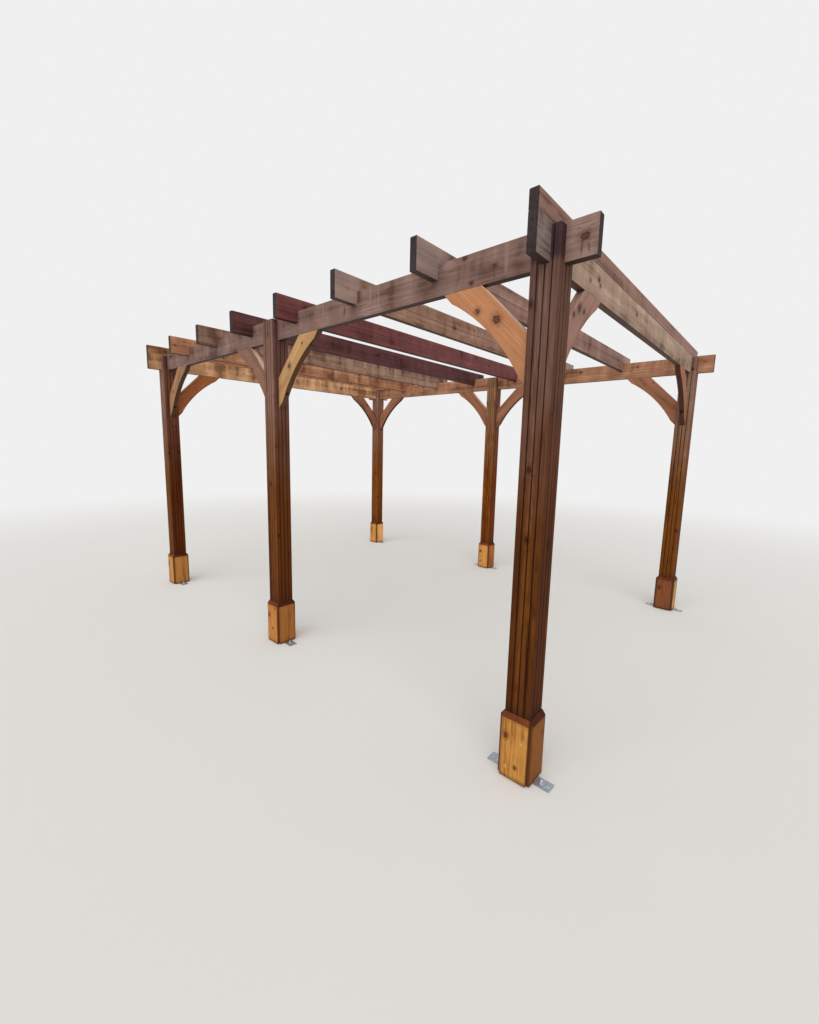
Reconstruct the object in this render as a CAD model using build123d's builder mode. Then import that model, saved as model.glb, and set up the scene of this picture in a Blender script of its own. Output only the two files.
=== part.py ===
from build123d import *
import os
from math import sqrt

# A garden pergola: an open timber frame on six posts, in millimetres.
# +X runs across the short side, +Y along the long side, +Z up.
# The origin is on the ground, in the middle of the plan.

# Layout
frame_width = 2900.0            # across, from post centre to post centre
bay_length = 1985.0             # along, from post centre to post centre
beam_underside = 2165.0         # clear height under the beams
beam_overhang = 120.0           # long beams, past the outer face of the corner posts
rafter_overhang = 115.0         # rafters and end beams, past the outer face of the posts
rafter_count = 6

# Timber sections
post_width = 120.0
post_shortfall = 10.0           # the post tops stop this far below the beam tops
post_arris = 3.0
groove_pitch = 30.0
groove_mouth = 7.0
groove_floor = 3.0
groove_depth = 4.0
grooves_per_face = 3
timber_thickness = 40.0
beam_depth = 145.0
rail_depth = 72.5
timber_arris = 2.5
joint_clearance = 0.25          # each side of a timber in its slot or notch

# Knee braces, cut from a board with mitred ends and a hollowed lower edge
brace_board = 145.0
brace_inner_leg = 245.0
brace_hollow = 35.0             # rise of the arc at mid length
brace_flat = 65.0               # of the board's own edge, left straight at each tip
brace_arris = 2.0
brace_screw_inset = 95.0        # from the tip of the brace
brace_screw_seat = 35.0         # wood left under the screw head
brace_pocket_radius = 10.0      # the pocket that the screw head is sunk in

# Skirting boards round the foot of each post, which leave its corners open
skirt_thickness = 18.0
skirt_overrun = 4.0             # each board runs this far past the post, its back edges bevelled
skirt_top = 310.0
skirt_shoulder = 288.0          # where the bevel starts
skirt_land = 2.0                # flat left on top of the bevel
skirt_ground_gap = 4.0
skirt_clearance = 0.5           # between a board and the post
skirt_arris = 3.0

# Galvanised angle brackets that hold each post down
bracket_width = 60.0
bracket_foot = 95.0             # along the ground, from the face of the post
bracket_leg = 90.0              # up the post, behind the skirting board
bracket_thickness = 3.0
bracket_bend = 5.0
bracket_corner = 5.0
bracket_clearance = 0.5
anchor_reach = 46.0             # the anchor hole, from the face of the post
anchor_radius = 6.5

# Derived places
beam_top = beam_underside + beam_depth
post_height = beam_top - post_shortfall
rafter_top = beam_top + rail_depth
lap_depth = beam_depth / 2
slot_width = timber_thickness + 2 * joint_clearance
row_x = {"front": -frame_width / 2, "back": frame_width / 2}
column_y = {"right": -bay_length, "middle": 0.0, "left": bay_length}
end_y = {name: y for name, y in column_y.items() if name != "middle"}
beam_length = 2 * (bay_length + post_width / 2 + beam_overhang)
rafter_length = frame_width + post_width + 2 * rafter_overhang
brace_outer_leg = brace_inner_leg + brace_board * sqrt(2)
skirt_width = post_width + 2 * skirt_overrun

os.makedirs("parts", exist_ok=True)


def save(part, name):
    """Label a finished piece and write it to its own STEP file."""
    part.label = name
    export_step(part, f"parts/{name}.step")


def cut_slot(x, y, z, along_x, along_y, height):
    """Cut a square slot, centred on (x, y), upwards from z."""
    with Locations((x, y, z)):
        Box(along_x, along_y, height, align=(Align.CENTER, Align.CENTER, Align.MIN), mode=Mode.SUBTRACT)


def make_post(x, y, name, corner):
    """A grooved post whose head is slotted for the beams that pass through it."""
    half = groove_mouth / 2
    groove = [(0, -half), (0, half), (-groove_depth, groove_floor / 2), (-groove_depth, -groove_floor / 2)]
    places = [(0, (i - (grooves_per_face - 1) / 2) * groove_pitch) for i in range(grooves_per_face)]
    with BuildPart() as post:
        with BuildSketch(Plane((x, y, 0))) as section:
            Rectangle(post_width, post_width)
            chamfer(section.vertices(), post_arris)
        extrude(amount=post_height)
        chamfer(post.faces().sort_by(Axis.Z)[-1].edges(), post_arris)
        with BuildSketch(Plane((x, y, 0))):
            with PolarLocations(post_width / 2, 4):
                with Locations(*places):
                    Polygon(*groove, align=None)
        extrude(amount=post_height, mode=Mode.SUBTRACT)
        head = post_height - beam_underside
        cut_slot(x, y, beam_underside, slot_width, post_width, head)
        if corner:
            cut_slot(x, y, beam_underside, post_width, slot_width, head)
    save(post.part, name)


def draw_section(plane, depth):
    """The section of a timber of that depth, with its arrises eased."""
    with BuildSketch(plane) as section:
        Rectangle(timber_thickness, depth)
        chamfer(section.vertices(), timber_arris)
    return section.sketch


def make_long_beam(x, name):
    """A beam along the long side, halved from above where the end beams cross it."""
    across = Plane((x, 0, beam_underside + beam_depth / 2), x_dir=(1, 0, 0), z_dir=(0, -1, 0))
    section = draw_section(across, beam_depth)
    with BuildPart() as beam:
        extrude(section, amount=beam_length / 2, both=True)
        for y in end_y.values():
            cut_slot(x, y, beam_top - lap_depth, timber_thickness, slot_width, lap_depth)
    save(beam.part, name)


def make_cross_timber(y, bottom, depth, notch, name):
    """A timber across the short side, notched from below where it crosses the long beams."""
    across = Plane((0, y, bottom + depth / 2), x_dir=(0, 1, 0), z_dir=(1, 0, 0))
    section = draw_section(across, depth)
    with BuildPart() as timber:
        extrude(section, amount=rafter_length / 2, both=True)
        if notch > 0:
            for x in row_x.values():
                cut_slot(x, y, bottom, slot_width, timber_thickness, notch)
    save(timber.part, name)


def make_brace(corner, outward, name):
    """A knee brace in the corner between the face of a post and the underside of a beam.

    corner is where the two meet, and outward is the direction of the beam from the post.
    """
    sideways = outward.cross(Vector(0, 0, 1))
    plane = Plane(corner, x_dir=outward, z_dir=sideways)
    middle = brace_outer_leg / 2 - brace_hollow / sqrt(2)
    near = brace_flat / sqrt(2)
    far = brace_outer_leg - near
    with BuildPart() as brace:
        with BuildSketch(plane):
            with BuildLine():
                ThreePointArc((far, -near), (middle, -middle), (near, -far))
                Polyline((near, -far), (0, -brace_outer_leg), (0, -brace_inner_leg), (brace_inner_leg, 0),
                         (brace_outer_leg, 0), (far, -near))
            make_face()
        extrude(amount=timber_thickness / 2, both=True)
        slope = Axis(corner, outward + Vector(0, 0, 1))
        chamfer(brace.edges().filter_by(GeomType.CIRCLE) + brace.edges().filter_by(slope), brace_arris)
        inset = brace_outer_leg - brace_screw_inset
        into_post = Plane(plane.from_local_coords((brace_board, -inset, 0)), x_dir=sideways, z_dir=outward)
        into_beam = Plane(plane.from_local_coords((inset, -brace_board, 0)), x_dir=sideways, z_dir=(0, 0, -1))
        with Locations(into_post.location, into_beam.location):
            Hole(brace_pocket_radius, depth=brace_board - brace_screw_seat)
    save(brace.part, name)


def make_board(relieved):
    """One skirting board, its back on the post at the origin and its face towards +X."""
    profile = [(0, skirt_ground_gap), (skirt_thickness, skirt_ground_gap), (skirt_thickness, skirt_shoulder),
               (skirt_land, skirt_top), (0, skirt_top)]
    with BuildPart() as board:
        with BuildSketch(Plane.XZ):
            Polygon(*profile, align=None)
        extrude(amount=skirt_width / 2, both=True)
        chamfer(board.edges().filter_by(Axis.Z).group_by(Axis.X)[-1], skirt_arris)
        chamfer(board.edges().filter_by(Axis.Z).group_by(Axis.X)[0], skirt_overrun)
        if relieved:
            depth = bracket_thickness + bracket_clearance - skirt_clearance
            height = bracket_leg + bracket_clearance - skirt_ground_gap
            with Locations((0, 0, skirt_ground_gap)):
                Box(depth, bracket_width + 2 * bracket_clearance, height,
                    align=(Align.MIN, Align.CENTER, Align.MIN), mode=Mode.SUBTRACT)
    return board.part


def make_bracket():
    """One angle bracket, its heel on the post at the origin and its foot towards +X."""
    profile = [(0, 0), (bracket_foot, 0), (bracket_foot, bracket_thickness),
               (bracket_thickness, bracket_thickness), (bracket_thickness, bracket_leg), (0, bracket_leg)]
    with BuildPart() as bracket:
        with BuildSketch(Plane.XZ):
            Polygon(*profile, align=None)
        extrude(amount=bracket_width / 2, both=True)
        heel = bracket.edges().filter_by(Axis.Y).sort_by_distance((0, 0, 0))[0]
        fillet(heel, bracket_bend)
        chamfer(bracket.edges().filter_by(Axis.Z).group_by(Axis.X)[-1], bracket_corner)
        chamfer(bracket.edges().filter_by(Axis.X).group_by(Axis.Z)[-1], bracket_corner)
        with Locations((anchor_reach, 0, bracket_thickness)):
            Hole(anchor_radius, depth=bracket_thickness)
    return bracket.part


def make_foot(x, y, place):
    """The skirting boards and the pair of brackets round the foot of one post."""
    with BuildPart() as skirt:
        with Locations((x, y, 0)):
            with PolarLocations(post_width / 2 + skirt_clearance, 2):
                add(plain_board)
            with PolarLocations(post_width / 2 + skirt_clearance, 2, start_angle=90):
                add(relieved_board)
    save(skirt.part, f"skirt_{place}")
    with BuildPart() as brackets:
        with Locations((x, y, 0)):
            with PolarLocations(post_width / 2, 2, start_angle=90):
                add(bracket)
    save(brackets.part, f"foot_brackets_{place}")


# Posts, with their skirting boards and hold-down brackets
plain_board = make_board(relieved=False)
relieved_board = make_board(relieved=True)
bracket = make_bracket()
for row, x in row_x.items():
    for column, y in column_y.items():
        make_post(x, y, f"post_{row}_{column}", corner=column != "middle")
        make_foot(x, y, f"{row}_{column}")

# Long beams, end beams and the rails that bring the ends up to the rafter tops
for row, x in row_x.items():
    make_long_beam(x, f"long_beam_{row}")
for end, y in end_y.items():
    make_cross_timber(y, beam_underside, beam_depth, lap_depth, f"end_beam_{end}")
    make_cross_timber(y, beam_top, rail_depth, 0, f"end_rail_{end}")

# Rafters, halved over the long beams at equal spacing between the two ends
rafter_pitch = 2 * bay_length / (rafter_count + 1)
for i in range(rafter_count):
    make_cross_timber(-bay_length + (i + 1) * rafter_pitch, rafter_top - beam_depth, beam_depth,
                      beam_depth - rail_depth, f"rafter_{i + 1}")

# Knee braces: along each long beam from every post, and along each end beam from the corners
reach = post_width / 2
for row, x in row_x.items():
    for column, y in column_y.items():
        for way, sign in (("right", -1), ("left", 1)):
            if column != way:
                foot = Vector(x, y + sign * reach, beam_underside)
                make_brace(foot, Vector(0, sign, 0), f"brace_{row}_{column}_to_{way}")
    inward = 1 if x < 0 else -1
    for end, y in end_y.items():
        foot = Vector(x + inward * reach, y, beam_underside)
        make_brace(foot, Vector(inward, 0, 0), f"brace_{row}_{end}_across")
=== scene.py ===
import math
from random import Random

import bmesh
import bpy
from bpy.props import FloatProperty, FloatVectorProperty, IntProperty, PointerProperty
from mathutils import Matrix, Vector


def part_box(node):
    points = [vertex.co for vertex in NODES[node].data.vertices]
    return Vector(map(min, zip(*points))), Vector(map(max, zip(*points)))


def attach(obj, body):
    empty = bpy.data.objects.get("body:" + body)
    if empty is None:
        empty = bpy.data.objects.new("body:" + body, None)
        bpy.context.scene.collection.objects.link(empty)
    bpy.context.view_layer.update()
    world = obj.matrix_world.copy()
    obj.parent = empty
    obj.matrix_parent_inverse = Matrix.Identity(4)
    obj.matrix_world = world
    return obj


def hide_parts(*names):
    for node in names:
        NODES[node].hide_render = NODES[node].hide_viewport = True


bl_info = {
    "name": "Garden Pergola",
    "version": (1, 0, 0),
    "blender": (4, 5, 0),
    "location": "3D View > Sidebar > Pergola",
    "description": "Dresses a timber pergola: stained softwood, galvanised feet, screws and ground anchors",
    "category": "Add Mesh",
}

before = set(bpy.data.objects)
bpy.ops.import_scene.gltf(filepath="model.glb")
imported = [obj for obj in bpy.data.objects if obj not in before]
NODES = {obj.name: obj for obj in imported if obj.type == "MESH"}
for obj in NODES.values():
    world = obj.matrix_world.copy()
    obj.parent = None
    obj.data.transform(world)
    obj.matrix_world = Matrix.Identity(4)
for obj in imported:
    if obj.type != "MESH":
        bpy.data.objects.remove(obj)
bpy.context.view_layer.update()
ROWS = ("front", "back")
PLACES = [f"{row}_{column}" for row in ROWS for column in ("right", "middle", "left")]
UP = Vector((0, 0, 1))

# What a stain is multiplied by where it lies thin, thick and thickest. The thickest also colours painted
# shade in the post grooves, the brace pockets and at the foot of the skirts
THIN = (1.5, 1.62, 1.7)
THICK = (0.45, 0.36, 0.34)
THICKEST = (0.16, 0.12, 0.11)

# The long faces of a timber go by these numbers, which are negative on the far side of it
SIDE_FACE = 3.0
FLAT_FACE = 5.0

# Width over length of a knot, and the angle below which metal faces that meet look smooth
KNOT_SLIMNESS = 0.78
SMOOTH_BELOW = math.radians(35)

# The first seed of each kind of timber, and the step from one timber to the next
SEEDS = {"post": (11, 7), "long_beam": (101, 13), "end_beam": (134, 17), "end_rail": (135, 17),
         "rafter": (211, 19), "brace": (301, 23), "skirt": (401, 29)}

# Descriptions that several settings share
LONG_FACES = "Stain on the two long-side faces of this post"
SHORT_FACES = "Stain on the two short-side faces of this post"
FRONT_BOARDS = "Stain on the front and back boards of this post"
SIDE_BOARDS = "Stain on the two side boards of this post"
TIMBER = "Stain on the timber of this name"


def title(name):
    """The name of a node or of a setting, as a label."""
    return name.replace("_", " ").capitalize()


def paint(red, green, blue):
    """A colour as a screen shows it, 0 to 255, in the linear numbers that a shader takes."""
    return tuple(((c / 255 + 0.055) / 1.055) ** 2.4 for c in (red, green, blue))


def colour(description, red, green, blue):
    """A colour setting whose default is given as a screen shows it."""
    return FloatVectorProperty(description=description, subtype="COLOR", size=3, min=0, max=1,
                               default=paint(red, green, blue))


def length(description, value):
    """A length setting, in metres."""
    return FloatProperty(description=description, subtype="DISTANCE", unit="LENGTH", min=0, default=value,
                         precision=4)


def share(description, value):
    """A setting from 0 to 1."""
    return FloatProperty(description=description, subtype="FACTOR", min=0, max=1, default=value)


def number(description, value):
    """A plain number that can't be negative."""
    return FloatProperty(description=description, min=0, default=value)


def angle(description, degrees):
    """An angle setting, given in degrees."""
    return FloatProperty(description=description, subtype="ANGLE", default=math.radians(degrees))


def numbers(description, values, **kind):
    """A setting of two or three numbers."""
    return FloatVectorProperty(description=description, size=len(values), default=values, **kind)


class PostFinish(bpy.types.PropertyGroup):
    front_right: colour(LONG_FACES, 113, 84, 73)
    front_middle: colour(LONG_FACES, 131, 99, 85)
    front_left: colour(LONG_FACES, 128, 97, 82)
    back_right: colour(LONG_FACES, 141, 110, 92)
    back_middle: colour(LONG_FACES, 162, 121, 87)
    back_left: colour(LONG_FACES, 150, 115, 95)
    side_front_right: colour(SHORT_FACES, 106, 72, 57)
    side_front_middle: colour(SHORT_FACES, 112, 79, 70)
    side_front_left: colour(SHORT_FACES, 108, 68, 52)
    side_back_right: colour(SHORT_FACES, 122, 85, 64)
    side_back_middle: colour(SHORT_FACES, 142, 96, 73)
    side_back_left: colour(SHORT_FACES, 151, 107, 86)
    ply: length("Thickness of the boards that a post is glued up from", 0.04)
    # Partly stain that pools in the grooves, partly painted shade down in them
    groove: length("Depth over which the stain in the grooves grows dark", 0.0035)
    foot: colour("What the stain is multiplied by below chest height", 216, 166, 76)
    foot_top: length("Height at which the stain has lost all of that warmth", 2.1)
    foot_low: length("Height below which the stain has all of that warmth", 1.0)
    damp: colour("What the stain is multiplied by just above the skirts", 241, 231, 215)
    damp_top: length("Height at which the damp no longer shows", 0.62)
    damp_low: length("Height below which the damp shows fully", 0.34)
    # Painted shade from the beams on the post heads between them
    head: colour("What the stain is multiplied by between the beams", 176, 178, 220)
    worn: share("How pale the worn patches are", 0.8)
    gloss: share("Shine of the posts", 0.08)


class BeamFinish(bpy.types.PropertyGroup):
    long_beam_front: colour(TIMBER, 131, 103, 93)
    long_beam_back: colour(TIMBER, 164, 117, 89)
    end_beam_right: colour(TIMBER, 170, 141, 121)
    end_beam_left: colour(TIMBER, 196, 148, 108)
    end_rail_right: colour(TIMBER, 150, 113, 98)
    end_rail_left: colour(TIMBER, 172, 120, 86)
    runs: share("Strength of the upright runs in the stain", 0.5)
    grey: colour("What the stain is multiplied by on the ends of the right end beam", 205, 217, 236)


class RafterFinish(bpy.types.PropertyGroup):
    rafter_1: colour(TIMBER, 157, 122, 109)
    rafter_2: colour(TIMBER, 161, 124, 104)
    rafter_3: colour(TIMBER, 119, 68, 67)
    rafter_4: colour(TIMBER, 98, 58, 58)
    rafter_5: colour(TIMBER, 157, 123, 103)
    rafter_6: colour(TIMBER, 172, 120, 88)
    runs: share("Strength of the upright runs in the stain", 0.5)
    seam: share("How dark the glued joint along the middle of each rafter is", 0.7)
    silver: share("How grey the outer ends of rafters 1 and 2 are", 0.5)
    screw: length("Radius of the holes that the rafter screws are sunk in", 0.0048)
    # Painted shade: the sunk holes aren't modelled, and this dark stands for the shade down in them
    hole: colour("Colour down in the screw holes", 39, 34, 31)


class BraceFinish(bpy.types.PropertyGroup):
    brace_front_right_across: colour(TIMBER, 165, 124, 109)
    brace_front_right_to_left: colour(TIMBER, 193, 134, 93)
    brace_front_middle_to_right: colour(TIMBER, 192, 149, 100)
    brace_front_middle_to_left: colour(TIMBER, 137, 98, 81)
    brace_front_left_to_right: colour(TIMBER, 169, 128, 90)
    brace_front_left_across: colour(TIMBER, 167, 99, 59)
    back_row: colour("Stain on the braces of the back row", 164, 111, 82)
    depth: length("Width of the board that the braces are cut from", 0.145)
    # Painted shade: the hollow edge faces down and away, and is darkened as if shaded
    hollow: share("How much darker the stain is on the hollow edge", 0.9)
    # Painted shade down inside the screw pockets
    pocket: share("How dark it is inside the screw pockets", 0.8)
    # Painted highlight: the straight outer edge faces up towards the corner and is painted pale as if
    # catching the sky
    edge: colour("Worn stain on the straight outer edge of the braces", 246, 212, 184)
    worn_long: share("How worn that edge is on the braces under the long beams", 0.7)
    worn_end: share("How worn that edge is on the braces under the end beams", 0.15)


class SkirtFinish(bpy.types.PropertyGroup):
    front_right: colour(FRONT_BOARDS, 206, 146, 69)
    front_middle: colour(FRONT_BOARDS, 193, 126, 63)
    front_left: colour(FRONT_BOARDS, 202, 145, 76)
    back_right: colour(FRONT_BOARDS, 129, 74, 42)
    back_middle: colour(FRONT_BOARDS, 216, 150, 78)
    back_left: colour(FRONT_BOARDS, 211, 148, 70)
    side_front_right: colour(SIDE_BOARDS, 140, 82, 26)
    side_front_middle: colour(SIDE_BOARDS, 171, 107, 49)
    side_front_left: colour(SIDE_BOARDS, 183, 122, 60)
    side_back_right: colour(SIDE_BOARDS, 200, 142, 84)
    side_back_middle: colour(SIDE_BOARDS, 185, 111, 49)
    side_back_left: colour(SIDE_BOARDS, 240, 172, 100)
    bevel: colour("Stain that has run together on the bevels", 88, 31, 8)
    side_bevel: colour("What that is multiplied by on the side boards", 170, 155, 124)
    shoulder: length("Height at which the bevel starts", 0.288)
    end: length("From the middle of the post to the end of a board", 0.064)


class WoodFinish(bpy.types.PropertyGroup):
    silver: colour("Weathered stain on the outer ends of the paler rafters", 177, 157, 150)
    end_grain: colour("Cut ends of the timbers, where the stain is darkest", 66, 56, 57)
    # Painted shade: this darkens the undersides of beams and rafters, and the hollow edges of the braces, as
    # if they were in shade
    underside: colour("What the stain is multiplied by on undersides", 101, 82, 79)
    knot: colour("Middle of the knots", 66, 34, 22)
    ring: length("Usual width of one year of growth", 0.0042)
    late: share("How dark the late wood of each year is", 0.35)
    check: share("How open the drying checks are", 0.6)
    # Partly wear, partly a painted highlight on the rounded arrises
    worn: share("How pale the arrises are worn", 0.25)
    pale_run: share("How pale the runs that thin the stain are", 0.45)
    dark_run: share("How dark the runs that thicken the stain are", 0.75)
    gloss: share("Shine of every timber but the posts", 0.18)
    rounding: length("Radius that softens every sawn edge", 0.0012)


class MetalFinish(bpy.types.PropertyGroup):
    zinc: colour("Galvanised brackets", 176, 184, 196)
    bright: colour("Plated bolts, washers and screws", 204, 206, 210)
    bloom: colour("White patches on the zinc", 221, 223, 229)
    spangle: length("Size of the crystals in the zinc", 0.007)


class FixingSizes(bpy.types.PropertyGroup):
    brace_seat: length("Wood left under the head of a brace screw", 0.035)
    brace_tip: length("From the tip of a brace to its screw", 0.095)
    head_radius: length("Radius of the head of a brace screw", 0.0068)
    anchor_reach: length("From the face of the post to the anchor", 0.046)
    spare_reach: length("From the face of the post to the spare hole", 0.08)
    hole_radius: length("Radius of the holes in the brackets", 0.0065)
    plate: length("Thickness of the steel of the brackets", 0.003)
    bend: length("Radius outside the bend of the brackets", 0.005)
    corner: length("Radius of the corners of the brackets", 0.006)
    eased: length("How far the edges of the brackets are eased", 0.0004)
    washer_radius: length("Radius of the anchor washers", 0.012)
    washer: length("Thickness of the anchor washers", 0.002)
    nut_radius: length("Radius of the anchor nuts over their corners", 0.0095)
    nut_height: length("Height of the anchor nuts", 0.008)
    stud_radius: length("Radius of the anchor studs", 0.005)
    pitch: length("Height of one thread", 0.0013)
    threads: IntProperty(description="Threads that show above the nut", default=4, min=1, max=12)
    cheek_aside: length("From the middle of the post to a cheek screw", 0.03)
    cheek_drop: length("From the top of the post down to a cheek screw", 0.02)
    cheek_screw: length("Radius of the screws through the cheeks of the middle posts", 0.0055)


class StageSettings(bpy.types.PropertyGroup):
    floor: colour("Colour of the floor", 226, 224, 220)
    floor_radius: length("How far the floor reaches", 60.0)
    floor_drop: length("How far the floor lies under the feet, so that the two don't flicker", 0.0006)
    backdrop: colour("Colour behind the pergola", 240, 240, 240)
    fade_start: length("Distance at which the floor starts to fade into the backdrop", 4.5)
    fade_end: length("Distance at which the floor has faded", 11.0)
    sky: number("Strength of the even light from all round", 0.62)
    key: number("Strength of the broad light from above", 1.55)
    key_from: numbers("Where that light comes from", (-0.62, -0.25, 0.75), subtype="DIRECTION")
    key_width: angle("How broad that light is", 70)
    viewpoint: numbers("Place of the camera", (-3.1379, -2.7759, 1.4645), subtype="TRANSLATION",
                       unit="LENGTH")
    heading: angle("Camera heading, from across towards along the pergola", 41.48)
    pitch: angle("Camera tilt above the horizon", -8.15)
    roll: angle("Camera roll", 1.26)
    lens: number("Focal length, in millimetres", 15.106)
    shift: numbers("How far the lens is shifted across and up, in picture widths", (-0.0015, -0.0028),
                   precision=4)


def method(operation):
    """The method of Signal that stands for an operator."""
    def act(self, other):
        return self.work(operation, self, other)
    return act


class Signal:
    """One output of a shader node. A sum that is written with it adds the Math nodes that work it out."""

    def __init__(self, board, socket):
        self.board = board
        self.socket = socket

    def __getitem__(self, name):
        return Signal(self.board, self.socket.node.outputs[name])

    def work(self, operation, *values):
        return self.board.add("ShaderNodeMath", {"operation": operation}, dict(enumerate(values)))

    def __abs__(self):
        return self.work("ABSOLUTE", self)

    def __rsub__(self, other):
        return self.work("SUBTRACT", other, self)

    __add__ = __radd__ = method("ADD")
    __sub__ = method("SUBTRACT")
    __mul__ = __rmul__ = method("MULTIPLY")
    __truediv__ = method("DIVIDE")
    __pow__ = method("POWER")
    __gt__ = method("GREATER_THAN")
    __lt__ = method("LESS_THAN")


class Board:
    """The shader nodes of one material, or of the world."""

    def __init__(self, owner):
        self.owner = owner
        owner.use_nodes = True
        self.tree = owner.node_tree
        self.tree.nodes.clear()

    def add(self, kind, settings=None, values=None, output=0):
        """Add a node, set it up, then give its sockets their values or links."""
        node = self.tree.nodes.new(kind)
        for key, value in (settings or {}).items():
            setattr(node, key, value)
        for key, value in (values or {}).items():
            socket = node.inputs[key]
            if isinstance(value, Signal):
                self.tree.links.new(value.socket, socket)
            elif socket.type == "RGBA":
                socket.default_value = (*value[:3], 1)
            else:
                socket.default_value = value
        return Signal(self, node.outputs[output])

    def vector(self, operation, *values):
        return self.add("ShaderNodeVectorMath", {"operation": operation}, dict(enumerate(values)))

    def join(self, x, y, z=0.0):
        return self.add("ShaderNodeCombineXYZ", None, {0: x, 1: y, 2: z})

    def ease(self, value, start, end):
        """0 at start and 1 at end, with a smooth change between them, whichever is the larger."""
        return self.add("ShaderNodeMapRange", {"interpolation_type": "SMOOTHSTEP"},
                        {"Value": value, "From Min": start, "From Max": end})

    def noise(self, point, stretch, detail=2.0, roughness=0.5):
        """Smooth noise, with stretch its repeats per metre along, across and up."""
        scaled = self.vector("MULTIPLY", point, stretch)
        return self.add("ShaderNodeTexNoise", {"noise_dimensions": "3D"},
                        {"Vector": scaled, "Scale": 1.0, "Detail": detail, "Roughness": roughness})

    def object_place(self):
        """Where a point is on the object. Its Normal is there too."""
        return self.add("ShaderNodeTexCoord", None, None, "Object")

    def dice(self, value, output="Color"):
        """A random colour or value that is the same wherever the value given is the same."""
        return self.add("ShaderNodeTexWhiteNoise", {"noise_dimensions": "1D"}, {"W": value}, output)

    def split(self, tint):
        """The red of a colour. Its green and blue are under those names."""
        return self.add("ShaderNodeSeparateColor", None, {0: tint})

    def size(self, arrow):
        return self.vector("LENGTH", arrow)["Value"]

    def mix(self, factor, first, second, blend="MIX"):
        """Blend two colours."""
        return self.add("ShaderNodeMix", {"data_type": "RGBA", "blend_type": blend, "clamp_factor": True},
                        {0: factor, 6: first, 7: second}, output=2)

    def finish(self, base, roughness, height, bump, **constants):
        """Join up the surface shader. Bump is how far a height of 1 stands out, in millimetres."""
        normal = self.add("ShaderNodeBump", None,
                          {"Strength": 1.0, "Distance": bump / 1000, "Height": height})
        values = {"Base Color": base, "Roughness": roughness, "Normal": normal}
        for key, value in constants.items():
            values[key.replace("_", " ")] = value
        self.show(self.add("ShaderNodeBsdfPrincipled", None, values))
        return self.owner

    def show(self, surface, kind="ShaderNodeOutputMaterial"):
        output = self.tree.nodes.new(kind)
        self.tree.links.new(surface.socket, output.inputs["Surface"])


def high(first, second):
    return first.work("MAXIMUM", first, second)


def floor(value):
    return value.work("FLOOR", value)


def fract(value):
    return value.work("FRACT", value)


def sign(value):
    return value.work("SIGN", value)


def scale(tint, *factors):
    """A colour with its red, green and blue multiplied, by one factor or by three."""
    return tuple(c * f for c, f in zip(tint, factors if len(factors) == 3 else factors * 3))


def seen(board):
    """1 for the rays that bring the background to the eye, straight, in a reflection or through glass."""
    rays = board.add("ShaderNodeLightPath")
    return high(high(rays["Is Camera Ray"], rays["Is Glossy Ray"]), rays["Is Transmission Ray"])


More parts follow.
